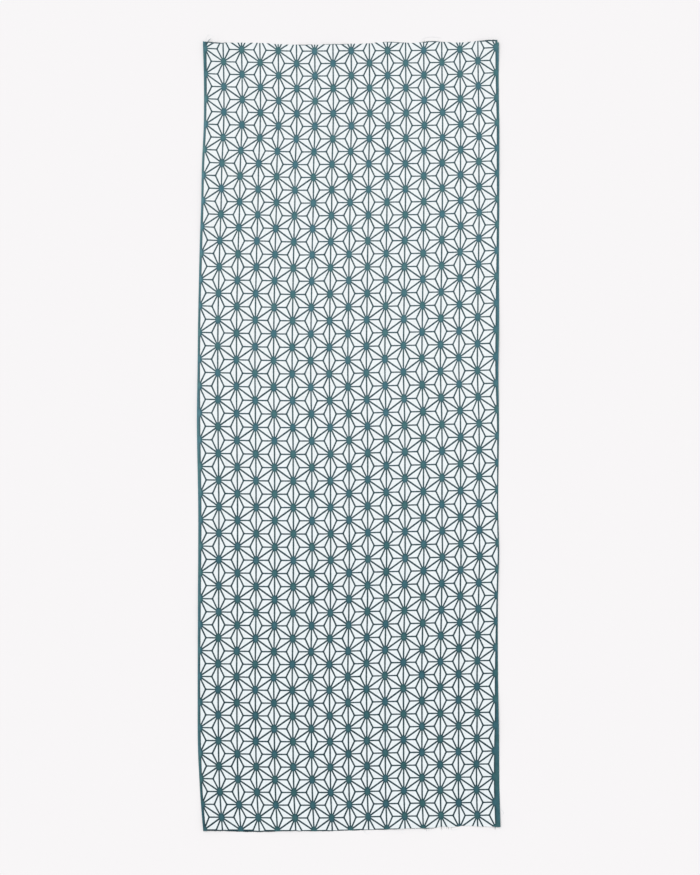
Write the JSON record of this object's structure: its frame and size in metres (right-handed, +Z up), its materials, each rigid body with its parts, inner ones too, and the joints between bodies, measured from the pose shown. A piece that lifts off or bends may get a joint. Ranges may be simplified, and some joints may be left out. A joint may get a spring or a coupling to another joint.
{
  "type": "tenugui towel",
  "caption": "Long narrow hand towel of plain-woven dyed cotton, selvedges down both long sides, raw cut ends, lying spread out flat.",
  "frame": {"origin": "middle of the cloth's outline, on the surface that the cloth lies on", "axes": "+X across the cloth towards its right selvedge, +Y along the warp towards its far cut end, +Z up out of its face"},
  "size_m": [0.348, 0.9074, 0.0036],
  "materials": {
    "dyed_cotton": "matte plain-woven cotton, white with fine teal lines dyed right through it, and solid teal selvedges"
  },
  "bodies": {
    "root": {"tenugui_cloth": "dyed_cotton"}
  },
  "joints": []
}
